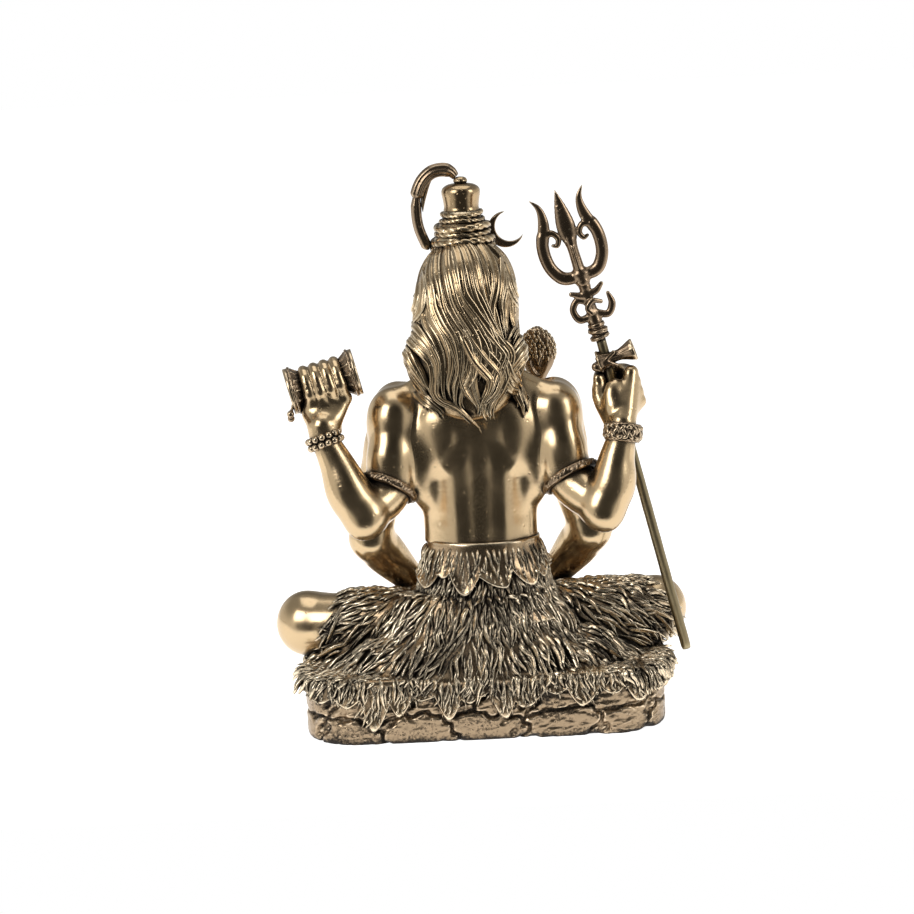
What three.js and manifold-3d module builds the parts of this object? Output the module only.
// A seated four-armed meditating figure in cast brass, about 224 mm tall.
// It sits cross-legged on an animal pelt over a low rock base. The upper left hand holds an
// hourglass drum, and a loose trident stands in the upper right fist and lifts out of it.
// Millimetres, +Z up. The figure faces -Y, so its own left is +X. The origin is on the
// underside, in the middle of the whole object's outline.

import * as THREE from "three";
import { mergeVertices } from "three/addons/utils/BufferGeometryUtils.js";
import Module from "manifold-3d";

const wasm = await Module();
wasm.setup();

// ---------------------------------------------------------------- driving dimensions

const SEAM = 0.3; // gap between pieces that are cast apart and brazed together
const RUNNING_CLEARANCE = 0.35; // radial clearance of the trident staff in the fist

const BASE_WIDTH = 144;
const BASE_DEPTH = 84;
const BASE_HEIGHT = 22;
const BASE_WALL = 4; // the casting is hollow and open underneath
const BASE_CORNER = 24;
const BASE_CENTRE_Y = -5;

const PELT_THICKNESS = 3;
const PELT_OVERHANG = 1.6; // how far the pelt stands out past the rock
const PELT_DROP = 11; // how far the pelt hangs down behind
const MOUND_HALF_WIDTH = 60;
const MOUND_HALF_DEPTH = 31;

const KILT_TOP = 51.2; // heights of the figure are above the seat, the pelt's upper face
const KILT_FOOT = 22;
const WAIST_HALF_WIDTH = 23.4;
const WAIST_HALF_DEPTH = 14;
const KILT_WALL_OUT = 1.6; // the kilt's rim stands out past the waist

const NECK_RADIUS = 8.6;
const HEAD_HALF_WIDTH = 14.2;
const HEAD_HALF_DEPTH = 17.5;
const HEAD_HALF_HEIGHT = 20.5;
const HAIR_THICKNESS = 4.2;
const TOPKNOT_RADIUS = 13;
const CAP_RADIUS = 7.7;
const STREAM_RADIUS = 2.3;

const SHOULDER_RADIUS = 10.8;
const UPPER_ARM_RADIUS = 9.7;
const ELBOW_RADIUS = 8.8;
const WRIST_RADIUS = 5.5;
const FINGER_PITCH = 4.1;
const FINGER_THICKNESS = 4.2;
const ARMLET_WIDTH = 3;
const ARMLET_THICKNESS = 1.9;
const BRACELET_ROW = 2.9; // width of one row of beads
const BRACELET_THICKNESS = 1.6;

const KNEE_RADIUS = 12.8;
const THIGH_RADIUS = 16;
const SHIN_RADIUS = 9.5;
const ANKLE_RADIUS = 7;

const DRUM_LENGTH = 28;
const DRUM_HEAD_RADIUS = 9.2;
const DRUM_WAIST_RADIUS = 3.4;

const STAFF_RADIUS = 2;
const STAFF_LENGTH = 131.8; // from its foot to the collar under the trident head
const HEAD_LEAN = 1.6; // degrees that the head stands off the staff's own line
const PRONG_RADIUS = 1.9;
const SCROLL_HEIGHT = 16;
const COLLAR_HEIGHT = 6.4;

const NECKLACE_RADIUS = 1.7;
const COBRA_RADIUS = 2.3;
const MOON_RADIUS = 6.8;
const MOON_THICKNESS = 2;

// ---------------------------------------------------------------- landmarks of the figure

const vec = (x, y, z) => new THREE.Vector3(x, y, z);
const SEAT = BASE_HEIGHT + SEAM + PELT_THICKNESS;
const BODY_Y = 8; // the spine's plane

const HEAD_CENTRE = vec(0.4, -1, 147);
const NECK_FOOT = 119.5;
const TOPKNOT_FOOT = 165;

// Each side is a mirror of the other apart from the pose, so sides are written out.
const LEFT = {
  side: 1,
  rearShoulder: vec(30.5, 11, 102),
  rearMiddle: vec(34, 17.5, 75),
  rearElbow: vec(44, 28, 65.5),
  rearWrist: vec(58.3, 26, 95.5),
  rearHand: vec(60, 21.5, 112.5),
  frontShoulder: vec(29, 3, 103),
  frontMiddle: vec(36.5, 0, 79),
  frontElbow: vec(43, -2, 50.5),
  frontWrist: vec(25, -20, 25.5),
  frontHand: vec(4, -26, 27.5),
};
const RIGHT = {
  side: -1,
  rearShoulder: vec(-31.5, 11, 101.5),
  rearMiddle: vec(-36, 17.5, 76.5),
  rearElbow: vec(-49, 28, 64.5),
  rearWrist: vec(-58, 27, 93.5),
  rearHand: vec(-55.4, 20.5, 106.5),
  frontShoulder: vec(-32, 3, 102),
  frontMiddle: vec(-36.5, 0, 79),
  frontElbow: vec(-45, -2, 50.5),
  frontWrist: vec(-28, -20, 25.5),
  frontHand: vec(-5, -24.5, 33),
};

// The trident's staff runs through the upper right fist along this line.
const STAFF_DIRECTION = vec(0.2318, 0.0567, 0.9711).normalize();
const STAFF_IN_FIST = vec(-56.1, 14.3, 108.5);
const STAFF_BELOW_FIST = 110.6; // from the fist's middle down to the staff's foot

// ---------------------------------------------------------------- solids

const UP = vec(0, 0, 1);
const CAP_STEPS = 3; // facets from the side to the pole of a round end
const OVAL_SIDES = 28;

function solidOf(geometry) {
  const bare = geometry.index ? geometry.toNonIndexed() : geometry.clone();
  bare.deleteAttribute("normal");
  bare.deleteAttribute("uv");
  const merged = mergeVertices(bare, 1e-3);
  return new wasm.Manifold(
    new wasm.Mesh({
      numProp: 3,
      vertProperties: merged.attributes.position.array,
      triVerts: new Uint32Array(merged.index.array),
    }),
  );
}

function geometryOf(solid) {
  const mesh = solid.getMesh();
  const positions = new Float32Array(mesh.numVert * 3);
  for (let i = 0; i < mesh.numVert; i++) {
    positions.set(mesh.vertProperties.subarray(i * mesh.numProp, i * mesh.numProp + 3), i * 3);
  }
  return new THREE.BufferGeometry()
    .setAttribute("position", new THREE.BufferAttribute(positions, 3))
    .setIndex(new THREE.BufferAttribute(mesh.triVerts, 1));
}

function joined(...solids) {
  return solids.reduce((sum, next) => sum.add(next));
}

function without(solid, ...others) {
  return others.reduce((rest, other) => rest.subtract(other), solid);
}

// The one connected piece that is left when a trim leaves loose slivers behind.
function mainBody(solid) {
  return solid.decompose().reduce((best, next) => (next.volume() > best.volume() ? next : best));
}

function turnTo(direction) {
  return new THREE.Quaternion().setFromUnitVectors(UP, direction.clone().normalize());
}

function placed(geometry, centre, direction = UP) {
  const move = new THREE.Matrix4().compose(centre, turnTo(direction), vec(1, 1, 1));
  return solidOf(geometry.applyMatrix4(move));
}

function ball(centre, radii, grow = 0, around = 14, along = 10) {
  const [rx, ry, rz] = typeof radii === "number" ? [radii, radii, radii] : radii;
  const shape = new THREE.SphereGeometry(1, around, along).rotateX(Math.PI / 2);
  return placed(shape.scale(rx + grow, ry + grow, rz + grow), centre);
}

function cone(from, to, radiusFrom, radiusTo, sides = 14) {
  const along = to.clone().sub(from);
  const shape = new THREE.CylinderGeometry(radiusTo, radiusFrom, along.length(), sides).rotateX(Math.PI / 2);
  return placed(shape, from.clone().add(to).multiplyScalar(0.5), along);
}

// A round-ended taper between two points, turned in one piece.
function taper([from, radiusFrom], [to, radiusTo], grow, sides) {
  const along = to.clone().sub(from);
  const profile = [];
  for (let i = 0; i <= CAP_STEPS; i++) {
    const angle = (i / CAP_STEPS) * (Math.PI / 2);
    const r = radiusFrom + grow;
    profile.push(new THREE.Vector2(i ? r * Math.sin(angle) : 0, -r * Math.cos(angle)));
  }
  for (let i = CAP_STEPS; i >= 0; i--) {
    const angle = (i / CAP_STEPS) * (Math.PI / 2);
    const r = radiusTo + grow;
    profile.push(new THREE.Vector2(i ? r * Math.sin(angle) : 0, along.length() + r * Math.cos(angle)));
  }
  return placed(new THREE.LatheGeometry(profile, sides).rotateX(Math.PI / 2), from, along);
}

// A limb through stations of [point, radius], grown outward to make a pocket for it.
function limb(stations, grow = 0, sides = 10) {
  const tapers = stations.slice(1).map((station, i) => taper(stations[i], station, grow, sides));
  return joined(...tapers);
}

function ring(centre, direction, radius, wire, sides = 28, around = 8) {
  return placed(new THREE.TorusGeometry(radius, wire, around, sides), centre, direction);
}

// An oval turned body: a lathe profile of [radius, height] squeezed to a depth share along Y.
function oval(profile, centre, depthShare, grow = 0) {
  const points = profile.map(([r, z]) => new THREE.Vector2(r > 0 ? r + grow : 0, z));
  const shape = new THREE.LatheGeometry(points, OVAL_SIDES).rotateX(Math.PI / 2);
  const depth = (WAIST_HALF_DEPTH + grow) / (WAIST_HALF_DEPTH + grow / depthShare);
  return placed(shape.scale(1, depthShare / depth, 1), centre);
}

function box(low, high) {
  const size = high.clone().sub(low);
  return placed(new THREE.BoxGeometry(size.x, size.y, size.z), low.clone().add(high).multiplyScalar(0.5));
}

function roundSection(radius, sides) {
  const shape = new THREE.Shape();
  for (let i = 0; i < sides; i++) {
    const angle = (2 * Math.PI * i) / sides;
    shape[i ? "lineTo" : "moveTo"](radius * Math.cos(angle), radius * Math.sin(angle));
  }
  return shape.closePath();
}

function wire(points, radius, steps, sides = 8) {
  const path = new THREE.CatmullRomCurve3(points);
  const shape = new THREE.ExtrudeGeometry(roundSection(radius, sides), { extrudePath: path, steps });
  return solidOf(shape);
}

// ---------------------------------------------------------------- rock base and pelt

function basePlan(margin) {
  const halfWidth = BASE_WIDTH / 2 + margin;
  const halfDepth = BASE_DEPTH / 2 + margin;
  const corner = Math.min(BASE_CORNER + margin, halfWidth, halfDepth);
  return new THREE.Shape()
    .moveTo(-halfWidth + corner, -halfDepth)
    .lineTo(halfWidth - corner, -halfDepth)
    .absarc(halfWidth - corner, -halfDepth + corner, corner, -Math.PI / 2, 0)
    .lineTo(halfWidth, halfDepth - corner)
    .absarc(halfWidth - corner, halfDepth - corner, corner, 0, Math.PI / 2)
    .lineTo(-halfWidth + corner, halfDepth)
    .absarc(-halfWidth + corner, halfDepth - corner, corner, Math.PI / 2, Math.PI)
    .lineTo(-halfWidth, -halfDepth + corner)
    .absarc(-halfWidth + corner, -halfDepth + corner, corner, Math.PI, 1.5 * Math.PI);
}

function baseSlab(margin, from, to) {
  const shape = new THREE.ExtrudeGeometry(basePlan(margin), {
    depth: to - from,
    bevelEnabled: false,
    curveSegments: 6,
  });
  return placed(shape, vec(0, BASE_CENTRE_Y, from));
}

function rockBase() {
  const cavity = baseSlab(-BASE_WALL, -1, BASE_HEIGHT - BASE_WALL);
  return baseSlab(0, 0, BASE_HEIGHT).subtract(cavity);
}

// The pelt lies over the rock, hangs down behind it and is bunched up round the hips.
function pelt(legs, kilt) {
  const backFace = BASE_CENTRE_Y + BASE_DEPTH / 2;
  const sheet = baseSlab(PELT_OVERHANG, BASE_HEIGHT + SEAM, SEAT);
  const skirtEdge = baseSlab(PELT_OVERHANG, BASE_HEIGHT - PELT_DROP, SEAT)
    .subtract(baseSlab(SEAM, 0, BASE_HEIGHT + SEAM))
    .intersect(box(vec(-BASE_WIDTH, backFace - BASE_CORNER * 0.75, 0), vec(BASE_WIDTH, backFace * 2, SEAT)));
  const kiltFoot = SEAT + KILT_FOOT;
  const flare = [
    [0, BASE_HEIGHT + 1],
    [MOUND_HALF_WIDTH, BASE_HEIGHT + 1],
    [MOUND_HALF_WIDTH * 0.92, SEAT + 3],
    [MOUND_HALF_WIDTH * 0.68, SEAT + 12],
    [MOUND_HALF_WIDTH * 0.54, kiltFoot],
    [0, kiltFoot],
  ];
  const mound = oval(flare, vec(0, BODY_Y - 1, 0), MOUND_HALF_DEPTH / MOUND_HALF_WIDTH);
  const bunched = mound.subtract(baseSlab(BASE_CORNER, 0, BASE_HEIGHT + SEAM));
  return mainBody(without(joined(sheet, skirtEdge, bunched), ...legs, kilt));
}

// ---------------------------------------------------------------- the figure, above the seat

function legStations(s, anklePoint, toePoint) {
  return {
    thigh: [
      [vec(s * 20, 2, 17), THIGH_RADIUS],
      [vec(s * 70.5, -11, 13.8), KNEE_RADIUS],
    ],
    shin: [
      [vec(s * 70.5, -11, 13.8), KNEE_RADIUS],
      [vec(s * 40, -27, 10.8), SHIN_RADIUS],
      [anklePoint, ANKLE_RADIUS],
      [toePoint, ANKLE_RADIUS * 0.62],
    ],
  };
}

const LEFT_LEG = legStations(1, vec(-14, -36, 8.5), vec(-36, -35, 6.5));
const RIGHT_LEG = legStations(-1, vec(12, -36.5, 18), vec(34, -32, 21));

function leg(stations, grow = 0) {
  const floor = box(vec(-200, -200, -60), vec(200, 200, SEAM - grow));
  return joined(limb(stations.thigh, grow), limb(stations.shin, grow)).subtract(floor);
}

const TORSO_PROFILE = [
  [0, KILT_TOP + SEAM],
  [WAIST_HALF_WIDTH - 0.6, KILT_TOP + SEAM],
  [WAIST_HALF_WIDTH - 0.2, 62],
  [WAIST_HALF_WIDTH + 2.2, 72],
  [WAIST_HALF_WIDTH + 6.5, 86],
  [WAIST_HALF_WIDTH + 9, 97],
  [WAIST_HALF_WIDTH + 7.5, 106],
  [WAIST_HALF_WIDTH - 2, 113],
  [NECK_RADIUS + 3.5, 118.5],
  [NECK_RADIUS + 2, NECK_FOOT - SEAM],
  [0, NECK_FOOT - SEAM],
];

function torso(grow = 0) {
  return oval(TORSO_PROFILE, vec(-1.2, BODY_Y, 0), WAIST_HALF_DEPTH / WAIST_HALF_WIDTH, grow);
}

function kilt(legs, arms) {
  const profile = [
    [0, KILT_FOOT + SEAM],
    [WAIST_HALF_WIDTH + 9, KILT_FOOT + SEAM],
    [WAIST_HALF_WIDTH + 5.5, KILT_FOOT + 12],
    [WAIST_HALF_WIDTH + KILT_WALL_OUT, KILT_TOP],
    [0, KILT_TOP],
  ];
  const cloth = oval(profile, vec(-2, BODY_Y, 0), (WAIST_HALF_DEPTH + 1) / WAIST_HALF_WIDTH);
  return mainBody(without(cloth, ...legs, ...arms));
}

function upperArm(shoulder, middle, elbow, grow) {
  return limb(
    [
      [shoulder, SHOULDER_RADIUS],
      [middle, UPPER_ARM_RADIUS],
      [elbow, ELBOW_RADIUS],
    ],
    grow,
  );
}

function forearm(elbow, wrist, grow) {
  return limb(
    [
      [elbow, ELBOW_RADIUS],
      [wrist, WRIST_RADIUS],
    ],
    grow,
  );
}

function openHand(arm, grow) {
  const palm = arm.frontWrist.clone().lerp(arm.frontHand, 0.62);
  const tips = arm.frontHand.clone().add(vec(-arm.side * 6, 2, -0.5));
  return joined(
    limb(
      [
        [arm.frontWrist, WRIST_RADIUS],
        [palm, WRIST_RADIUS - 0.6],
      ],
      grow,
    ),
    ball(arm.frontHand, [11, 6.4, 2.6], grow),
    ball(tips, [8, 5, 1.9], grow),
  );
}

function frontArm(arm, grow = 0) {
  return joined(
    upperArm(arm.frontShoulder, arm.frontMiddle, arm.frontElbow, grow),
    forearm(arm.frontElbow, arm.frontWrist, grow),
    openHand(arm, grow),
  );
}

const DRUM_DIRECTION = vec(-0.97, -0.08, 0.24).normalize();
const DRUM_CENTRE = LEFT.rearHand.clone().add(vec(-1.7, -5, 4.7));

// A closed fist: the heel of the hand, and four fingers curled round an axis.
function fist(arm, axisPoint, axis, gripRadius, grow) {
  const heel = limb(
    [
      [arm.rearWrist, WRIST_RADIUS],
      [arm.rearHand, WRIST_RADIUS + 1.2],
    ],
    grow,
  );
  const r = gripRadius + FINGER_THICKNESS + grow;
  const end = 2 * FINGER_PITCH + grow;
  const profile = [[0, -end]];
  for (let finger = -1.5; finger <= 1.5; finger++) {
    const z = finger * FINGER_PITCH;
    const lower = finger < -1 ? -end : z - FINGER_PITCH / 2;
    const upper = finger > 1 ? end : z + FINGER_PITCH / 2;
    profile.push([r - 1, lower], [r, z - FINGER_PITCH / 4], [r, z + FINGER_PITCH / 4]);
    if (finger > 1) profile.push([r - 1, upper]);
  }
  profile.push([0, end]);
  const points = profile.map(([radius, z]) => new THREE.Vector2(radius, z));
  const fingers = placed(new THREE.LatheGeometry(points, 12).rotateX(Math.PI / 2), axisPoint, axis);
  return joined(heel, fingers);
}

function rearArm(arm, hand, grow = 0) {
  return joined(
    upperArm(arm.rearShoulder, arm.rearMiddle, arm.rearElbow, grow),
    forearm(arm.rearElbow, arm.rearWrist, grow),
    hand(grow),
  );
}

const drumFist = (grow) => fist(LEFT, DRUM_CENTRE, DRUM_DIRECTION, DRUM_WAIST_RADIUS + SEAM, grow);
const staffFist = (grow) =>
  fist(RIGHT, STAFF_IN_FIST, STAFF_DIRECTION, STAFF_RADIUS + RUNNING_CLEARANCE, grow);

function staffBore() {
  const reach = 60;
  return cone(
    STAFF_IN_FIST.clone().addScaledVector(STAFF_DIRECTION, -reach),
    STAFF_IN_FIST.clone().addScaledVector(STAFF_DIRECTION, reach),
    STAFF_RADIUS + RUNNING_CLEARANCE,
    STAFF_RADIUS + RUNNING_CLEARANCE,
    16,
  );
}

// The hourglass drum. Its waist sits in the fist.
function drum(centre, direction, length, headRadius, waistRadius, grow = 0, sides = 20) {
  const half = length / 2 + grow;
  const profile = [
    [0, -half],
    [headRadius + grow, -half],
    [headRadius + grow, -half + length * 0.07],
    [headRadius * 0.9 + grow, -half + length * 0.1],
    [waistRadius + grow, -length * 0.24],
    [waistRadius + grow, length * 0.24],
    [headRadius * 0.9 + grow, half - length * 0.1],
    [headRadius + grow, half - length * 0.07],
    [headRadius + grow, half],
    [0, half],
  ];
  const points = profile.map(([r, z]) => new THREE.Vector2(r, z));
  return placed(new THREE.LatheGeometry(points, sides).rotateX(Math.PI / 2), centre, direction);
}

// ---------------------------------------------------------------- head and hair

function head(grow = 0) {
  const jaw = HEAD_CENTRE.clone().add(vec(0, -5, -9.5));
  return joined(
    ball(HEAD_CENTRE, [HEAD_HALF_WIDTH, HEAD_HALF_DEPTH, HEAD_HALF_HEIGHT], grow, 16, 10),
    ball(jaw, [HEAD_HALF_WIDTH - 3, HEAD_HALF_DEPTH - 5.5, HEAD_HALF_HEIGHT - 8.5], grow, 12, 8),
    ball(HEAD_CENTRE.clone().add(vec(0, -HEAD_HALF_DEPTH, -5)), [2.4, 3.2, 3.6], grow, 8, 6),
    ball(HEAD_CENTRE.clone().add(vec(HEAD_HALF_WIDTH, -1, -4)), [1.6, 3.2, 6], grow, 8, 6),
    ball(HEAD_CENTRE.clone().add(vec(-HEAD_HALF_WIDTH, -1, -4)), [1.6, 3.2, 6], grow, 8, 6),
    cone(vec(0, 2, NECK_FOOT), vec(0.3, 0, 136), NECK_RADIUS + grow, NECK_RADIUS + grow),
  );
}

function topknot(grow = 0) {
  const r = TOPKNOT_RADIUS;
  const c = CAP_RADIUS;
  const profile = [
    [0, 0],
    [r - 0.8, 0],
    [r, 2.4],
    [r - 0.8, 4.6],
    [r - 2.4, 5.4],
    [r - 1.4, 8],
    [r - 2.4, 10.4],
    [c + 0.6, 11],
    [c + 1.4, 12.6],
    [c + 0.4, 14.4],
    [c - 1, 15],
    [c - 0.5, 19],
    [c, 22.6],
    [c - 1.6, 25],
    [2.8, 25.8],
    [2.5, 27.6],
    [0, 28.6],
  ];
  const points = profile.map(([radius, z]) => new THREE.Vector2(radius > 0 ? radius + grow : 0, z));
  const shape = new THREE.LatheGeometry(points, 18).rotateX(Math.PI / 2);
  return placed(shape, vec(0.9, -1, TOPKNOT_FOOT));
}

function hair(grow = 0) {
  const cap = ball(
    HEAD_CENTRE.clone().add(vec(0, 2, 1.2)),
    [HEAD_HALF_WIDTH + HAIR_THICKNESS, HEAD_HALF_DEPTH + HAIR_THICKNESS - 1, HEAD_HALF_HEIGHT + 1.6],
    grow,
    16,
    10,
  );
  const faceOpening = ball(
    HEAD_CENTRE.clone().add(vec(0, -HEAD_HALF_DEPTH - 4, -9)),
    [HEAD_HALF_WIDTH - 1.2, 21.5, HEAD_HALF_HEIGHT + 5.5],
    -grow,
    14,
    10,
  );
  const mane = joined(
    ball(vec(1.2, 11, 140), [20.5, 13, 22], grow, 16, 10),
    ball(vec(1.9, 18, 124), [24, 11, 20], grow, 16, 10),
    ball(vec(1, 22.5, 109), [19, 7.5, 14], grow, 14, 8),
  );
  return joined(cap.subtract(faceOpening), mane);
}

function crescentMoon() {
  const outer = MOON_RADIUS;
  const inner = MOON_RADIUS - 0.4;
  const shift = 2.1; // from the outer arc's centre to the inner one's
  const reach = (outer * outer - inner * inner + shift * shift) / (2 * shift);
  const outerAngle = Math.acos(reach / outer);
  const innerAngle = Math.acos((reach - shift) / inner);
  const shape = new THREE.Shape()
    .absarc(0, 0, outer, outerAngle, 2 * Math.PI - outerAngle)
    .absarc(shift, 0, inner, 2 * Math.PI - innerAngle, innerAngle, true);
  const plate = new THREE.ExtrudeGeometry(shape, {
    depth: MOON_THICKNESS,
    bevelEnabled: false,
    curveSegments: 10,
  });
  plate.translate(0, 0, -MOON_THICKNESS / 2).rotateX(Math.PI / 2).rotateY(Math.PI + 0.62);
  return placed(plate, vec(-16.3, -6, 171.6));
}

// Water poured from the top of the knot: it arches over and falls beside the head.
function waterStream() {
  const z = TOPKNOT_FOOT;
  return wire(
    [
      vec(3.6, -1.5, z + 30.4),
      vec(7.5, -1.5, z + 31.6),
      vec(12.2, -1.5, z + 30.6),
      vec(16.2, -1.5, z + 27),
      vec(18.2, -1.5, z + 21.6),
      vec(18.5, -1.5, z + 15.4),
      vec(17.8, -1, z + 8.6),
      vec(15.6, 0, z + 1.8),
    ],
    STREAM_RADIUS,
    18,
  );
}

// ---------------------------------------------------------------- ornaments of the figure

// A band round a limb, before the limb's own pocket is cut out of it.
function band(centre, direction, radius, width) {
  const half = width / 2;
  const profile = [
    [0, -half],
    [radius - 0.5, -half],
    [radius, -half / 2],
    [radius, half / 2],
    [radius - 0.5, half],
    [0, half],
  ];
  const points = profile.map(([r, z]) => new THREE.Vector2(r, z));
  return placed(new THREE.LatheGeometry(points, 20).rotateX(Math.PI / 2), centre, direction);
}

function armlet(arm) {
  const before = arm.rearMiddle.clone().sub(arm.rearShoulder).normalize();
  const after = arm.rearElbow.clone().sub(arm.rearMiddle).normalize();
  const centre = arm.rearMiddle.clone().lerp(arm.rearElbow, 0.1);
  return band(centre, before.add(after), UPPER_ARM_RADIUS + SEAM + ARMLET_THICKNESS, ARMLET_WIDTH);
}

function bracelet(before, wrist, after, rows) {
  const along = after.clone().sub(before);
  return band(wrist, along, WRIST_RADIUS + SEAM + BRACELET_THICKNESS, BRACELET_ROW * rows);
}

function beadNecklace() {
  return wire(
    [
      vec(13.5, 2, 119.5),
      vec(12.6, -7.5, 113),
      vec(8.6, -12.8, 104),
      vec(0.2, -14.6, 98),
      vec(-8.2, -12.8, 104),
      vec(-12.2, -7.5, 113),
      vec(-13.2, 2, 119.5),
    ],
    NECKLACE_RADIUS,
    24,
  );
}

function cobra() {
  const hood = ball(vec(-27.3, -13.5, 121.5), [7.6, 3.2, 9.4], 0, 14, 10);
  const body = wire(
    [
      vec(-27, -12.8, 116),
      vec(-24.5, -14.5, 108.5),
      vec(-17, -16.2, 107.5),
      vec(-7, -15.4, 112.5),
      vec(0.5, -13.6, 115.5),
      vec(9, -13, 114.5),
      vec(14.5, -9.5, 117.5),
    ],
    COBRA_RADIUS,
    22,
  );
  return joined(hood, body);
}

function earPendant(side) {
  return ring(vec(side * (HEAD_HALF_WIDTH + 1.2), -6, 132.5), vec(0, 1, 0.2), 2.7, 0.9, 16, 6);
}

// ---------------------------------------------------------------- trident, about its staff

// Points of the trident are [across, forward, along the staff], from the staff's foot.
const tridentFrame = new THREE.Group();
tridentFrame.position.copy(STAFF_IN_FIST).addScaledVector(STAFF_DIRECTION, -STAFF_BELOW_FIST);
tridentFrame.quaternion.copy(turnTo(STAFF_DIRECTION));

function staff() {
  return placed(
    new THREE.CylinderGeometry(STAFF_RADIUS, STAFF_RADIUS, STAFF_LENGTH, 16).rotateX(Math.PI / 2),
    vec(0, 0, STAFF_LENGTH / 2),
  );
}

function turned(profile, foot, sides = 16) {
  const points = profile.map(([r, z]) => new THREE.Vector2(r, z));
  return placed(new THREE.LatheGeometry(points, sides).rotateX(Math.PI / 2), vec(0, 0, foot));
}

function collar() {
  return turned(
    [
      [0, 0],
      [STAFF_RADIUS + 1.6, 0],
      [STAFF_RADIUS + 2, 0.7],
      [STAFF_RADIUS + 1, 1.4],
      [STAFF_RADIUS + 1.2, 2.4],
      [STAFF_RADIUS + 2, 3.6],
      [STAFF_RADIUS + 1.4, 5],
      [STAFF_RADIUS + 1.1, COLLAR_HEIGHT],
      [0, COLLAR_HEIGHT],
    ],
    STAFF_LENGTH + SEAM,
  );
}

const SCROLL_FOOT = STAFF_LENGTH + COLLAR_HEIGHT + 2 * SEAM;
function scrolls() {
  const z = SCROLL_FOOT;
  const core = turned(
    [
      [0, 0],
      [2.8, 0],
      [2.2, 7],
      [2.5, SCROLL_HEIGHT],
      [0, SCROLL_HEIGHT],
    ],
    z,
    12,
  );
  const lowHook = wire(
    [vec(-2, 0, z + 3), vec(-6.2, 0, z + 2.2), vec(-8.4, 0, z + 6), vec(-7.6, 0, z + 9.4)],
    1.3,
    10,
  );
  const lowCurl = wire(
    [vec(2, 0, z + 2.5), vec(5.4, 0, z + 3), vec(6.6, 0, z + 7), vec(4, 0, z + 9.8), vec(1.5, 0, z + 9)],
    1.3,
    12,
  );
  const crest = wire(
    [vec(-6.4, 0, z + 13.6), vec(-2, 0, z + 11.6), vec(2, 0, z + 11.4), vec(6, 0, z + 13)],
    1.2,
    10,
  );
  return joined(core, lowHook, lowCurl, crest);
}

const PRONG_FOOT = SCROLL_FOOT + SCROLL_HEIGHT + SEAM;

function prong(side) {
  const at = (across, up) => vec(side * across, 0, PRONG_FOOT + up);
  const loop = wire(
    [at(0, 4.4), at(3.4, 3.2), at(7.2, 3.6), at(10.4, 8), at(11.5, 13), at(11, 17.4), at(9.2, 22)],
    PRONG_RADIUS,
    14,
  );
  const blade = limb(
    [[at(9.2, 22), PRONG_RADIUS], [at(7.7, 28), 1.5], [at(8.3, 33), 1], [at(10.4, 36.4), 0.5]],
    0,
    7,
  );
  const curl = wire([at(8.8, 22), at(6.4, 22.6), at(4.6, 20.2), at(5.6, 17.4)], 0.9, 7, 6);
  return joined(loop, blade, curl);
}

function tridentHead() {
  const neck = turned(
    [
      [0, 0],
      [2.6, 0],
      [2.2, 4],
      [2, 18],
      [0, 18],
    ],
    PRONG_FOOT,
    12,
  );
  const leaf = turned(
    [
      [0, 0],
      [1.6, 0],
      [3.3, 7],
      [2.6, 14],
      [0, 22],
    ],
    0,
    8,
  )
    .scale([1, 0.55, 1])
    .translate([0, 0, PRONG_FOOT + 16]);
  return joined(neck, leaf, prong(1), prong(-1)).subtract(
    box(vec(-30, -10, PRONG_FOOT - 20), vec(30, 10, PRONG_FOOT)),
  );
}

// A small drum tied beside the staff, just above the fist: its outer half stands clear, and the
// inner half is taken up by the knot round the staff.
const SMALL_DRUM_AT = STAFF_BELOW_FIST + 2 * FINGER_PITCH + 4.2;

function smallDrum() {
  const axis = vec(-0.99, 0.05, 0.1).normalize();
  const body = drum(vec(-4.2, 0.6, SMALL_DRUM_AT + 0.6), axis, 15, 4.5, 2.3, 0, 12);
  const knot = ball(vec(1, 0.6, SMALL_DRUM_AT - 0.8), [4, 3.6, 2.8], 0, 10, 8);
  const aboveFist = box(vec(-20, -20, SMALL_DRUM_AT - 3.7), vec(20, 20, STAFF_LENGTH - SEAM));
  const radius = STAFF_RADIUS + SEAM;
  const rod = cone(vec(0, 0, SMALL_DRUM_AT - 20), vec(0, 0, SMALL_DRUM_AT + 20), radius, radius);
  return joined(body, knot).intersect(aboveFist).subtract(rod);
}

// ---------------------------------------------------------------- assembly

const brass = new THREE.MeshStandardMaterial({ color: 0xb08a4e, roughness: 0.28, metalness: 1 });
const darkBrass = new THREE.MeshStandardMaterial({ color: 0x7d5f38, roughness: 0.42, metalness: 1 });
const furBrass = new THREE.MeshStandardMaterial({ color: 0x94753f, roughness: 0.38, metalness: 1 });
const rockBrass = new THREE.MeshStandardMaterial({ color: 0x8c7046, roughness: 0.5, metalness: 1 });
const rodBrass = new THREE.MeshStandardMaterial({ color: 0x7a6a3a, roughness: 0.55, metalness: 1 });

const statue = new THREE.Group();
const figure = new THREE.Group();
figure.position.z = SEAT;
const trident = new THREE.Group();
statue.add(figure);
figure.add(trident);

function piece(parent, name, solid, material) {
  const mesh = new THREE.Mesh(geometryOf(solid), material);
  mesh.name = name;
  parent.add(mesh);
}

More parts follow.
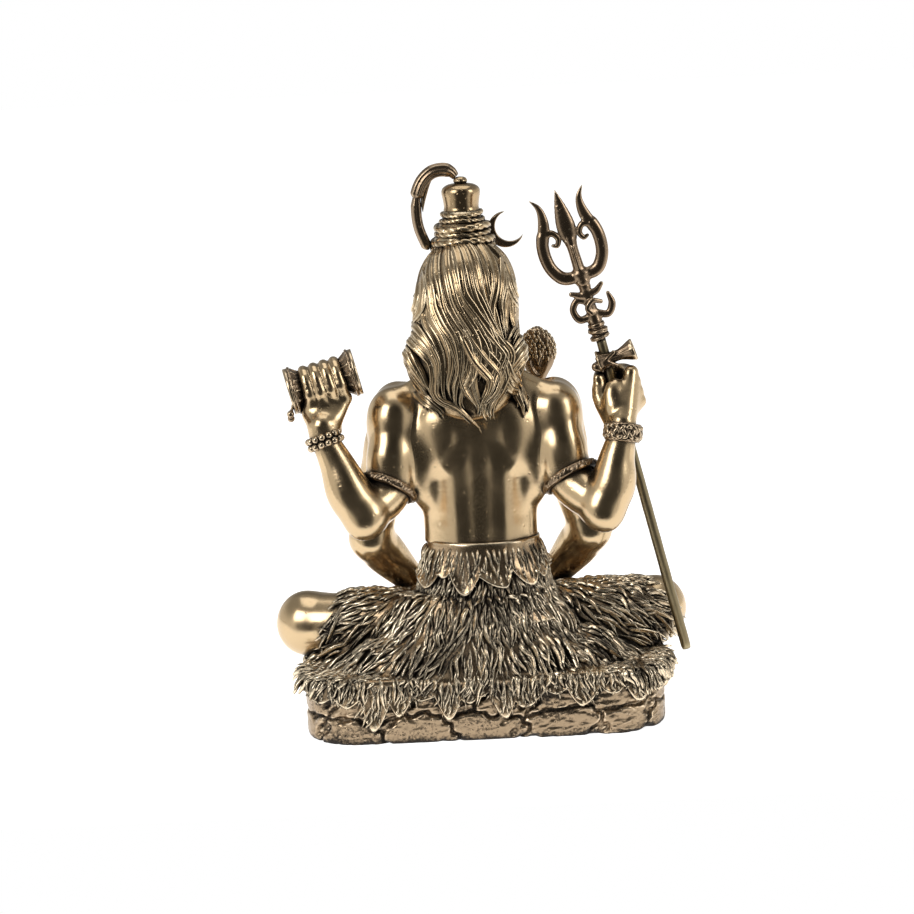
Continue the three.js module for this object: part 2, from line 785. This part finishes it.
const legPockets = [leg(LEFT_LEG, SEAM), leg(RIGHT_LEG, SEAM)];
const torsoPocket = torso(SEAM);
const frontPockets = [frontArm(LEFT, SEAM), frontArm(RIGHT, SEAM)];
const rearPockets = [rearArm(LEFT, drumFist, SEAM), rearArm(RIGHT, staffFist, SEAM)];
const hairPocket = without(hair(SEAM), head(0));
const drumSolid = drum(DRUM_CENTRE, DRUM_DIRECTION, DRUM_LENGTH, DRUM_HEAD_RADIUS, DRUM_WAIST_RADIUS);
const drumPocket = drum(DRUM_CENTRE, DRUM_DIRECTION, DRUM_LENGTH, DRUM_HEAD_RADIUS, DRUM_WAIST_RADIUS, SEAM);
const kiltSolid = kilt(legPockets, frontPockets);
const kiltPocket = kilt([], []).translate([0, 0, SEAT - SEAM]);
const lifted = (solid) => solid.translate([0, 0, SEAT]);

piece(statue, "rock_base", rockBase(), rockBrass);
piece(statue, "pelt_seat", pelt(legPockets.map(lifted), kiltPocket), furBrass);
piece(figure, "fur_kilt", kiltSolid, furBrass);
piece(figure, "left_leg", leg(LEFT_LEG), brass);
piece(figure, "right_leg", mainBody(leg(RIGHT_LEG).subtract(legPockets[0])), brass);
piece(figure, "torso", torso(), brass);
piece(figure, "head", head(), brass);

const leftFront = frontArm(LEFT).subtract(torsoPocket).subtract(legPockets[0]).subtract(legPockets[1]);
const rightFront = frontArm(RIGHT)
  .subtract(torsoPocket)
  .subtract(legPockets[0])
  .subtract(legPockets[1])
  .subtract(frontPockets[0]);
piece(figure, "left_front_arm", mainBody(leftFront), brass);
piece(figure, "right_front_arm", mainBody(rightFront), brass);

const leftRear = without(rearArm(LEFT, drumFist), torsoPocket, frontPockets[0], drumPocket);
const rightRear = without(rearArm(RIGHT, staffFist), torsoPocket, frontPockets[1], staffBore());
piece(figure, "left_rear_arm", mainBody(leftRear), brass);
piece(figure, "right_rear_arm", mainBody(rightRear), brass);

const mane = without(hair(), head(SEAM), topknot(SEAM), torsoPocket, ...frontPockets, ...rearPockets);
piece(figure, "hair_mane", mainBody(mane), darkBrass);
piece(figure, "topknot", topknot().subtract(head(SEAM)), darkBrass);
piece(figure, "water_stream", without(waterStream(), hairPocket, topknot(SEAM)), darkBrass);
piece(figure, "crescent_moon", mainBody(without(crescentMoon(), hairPocket, topknot(SEAM))), darkBrass);

piece(figure, "drum", drumSolid, darkBrass);
for (const [name, arm] of [
  ["left", LEFT],
  ["right", RIGHT],
]) {
  const pockets = [torsoPocket, ...frontPockets, ...rearPockets];
  piece(figure, name + "_armlet", mainBody(without(armlet(arm), ...pockets)), darkBrass);
  const rearBand = without(bracelet(arm.rearElbow, arm.rearWrist, arm.rearHand, 2), ...rearPockets);
  piece(figure, name + "_rear_bracelet", mainBody(rearBand), darkBrass);
  const frontBand = bracelet(arm.frontElbow, arm.frontWrist, arm.frontHand, 1.5);
  const frontTrims = [...legPockets, ...frontPockets];
  piece(figure, name + "_front_bracelet", mainBody(without(frontBand, ...frontTrims)), darkBrass);
  const pendant = mainBody(without(earPendant(arm.side), head(SEAM), hairPocket));
  piece(figure, name + "_ear_pendant", pendant, darkBrass);
}

const snake = without(cobra(), torsoPocket, head(SEAM), hairPocket, ...frontPockets);
piece(figure, "cobra", mainBody(snake), darkBrass);
const beads = without(beadNecklace(), torsoPocket, head(SEAM), hairPocket, ...frontPockets);
piece(figure, "bead_necklace", mainBody(beads), darkBrass);

// The head of the trident is brazed to the staff a little out of line.
const headLean = new THREE.Group();
headLean.position.z = STAFF_LENGTH;
headLean.rotation.y = THREE.MathUtils.degToRad(HEAD_LEAN);
trident.position.copy(tridentFrame.position);
trident.quaternion.copy(tridentFrame.quaternion);
trident.add(headLean);
const fromCollar = (solid) => solid.translate([0, 0, -STAFF_LENGTH]);
piece(trident, "trident_staff", staff(), rodBrass);
piece(trident, "trident_small_drum", mainBody(smallDrum()), darkBrass);
piece(headLean, "trident_collar", fromCollar(collar()), darkBrass);
piece(headLean, "trident_scrolls", fromCollar(scrolls()), darkBrass);
piece(headLean, "trident_head", fromCollar(tridentHead()), darkBrass);

// The origin goes under the middle of the outline.
statue.updateMatrixWorld(true);
const outline = new THREE.Box3().setFromObject(statue);
const middle = outline.getCenter(new THREE.Vector3());
statue.position.set(-middle.x, -middle.y, 0);

export default statue;
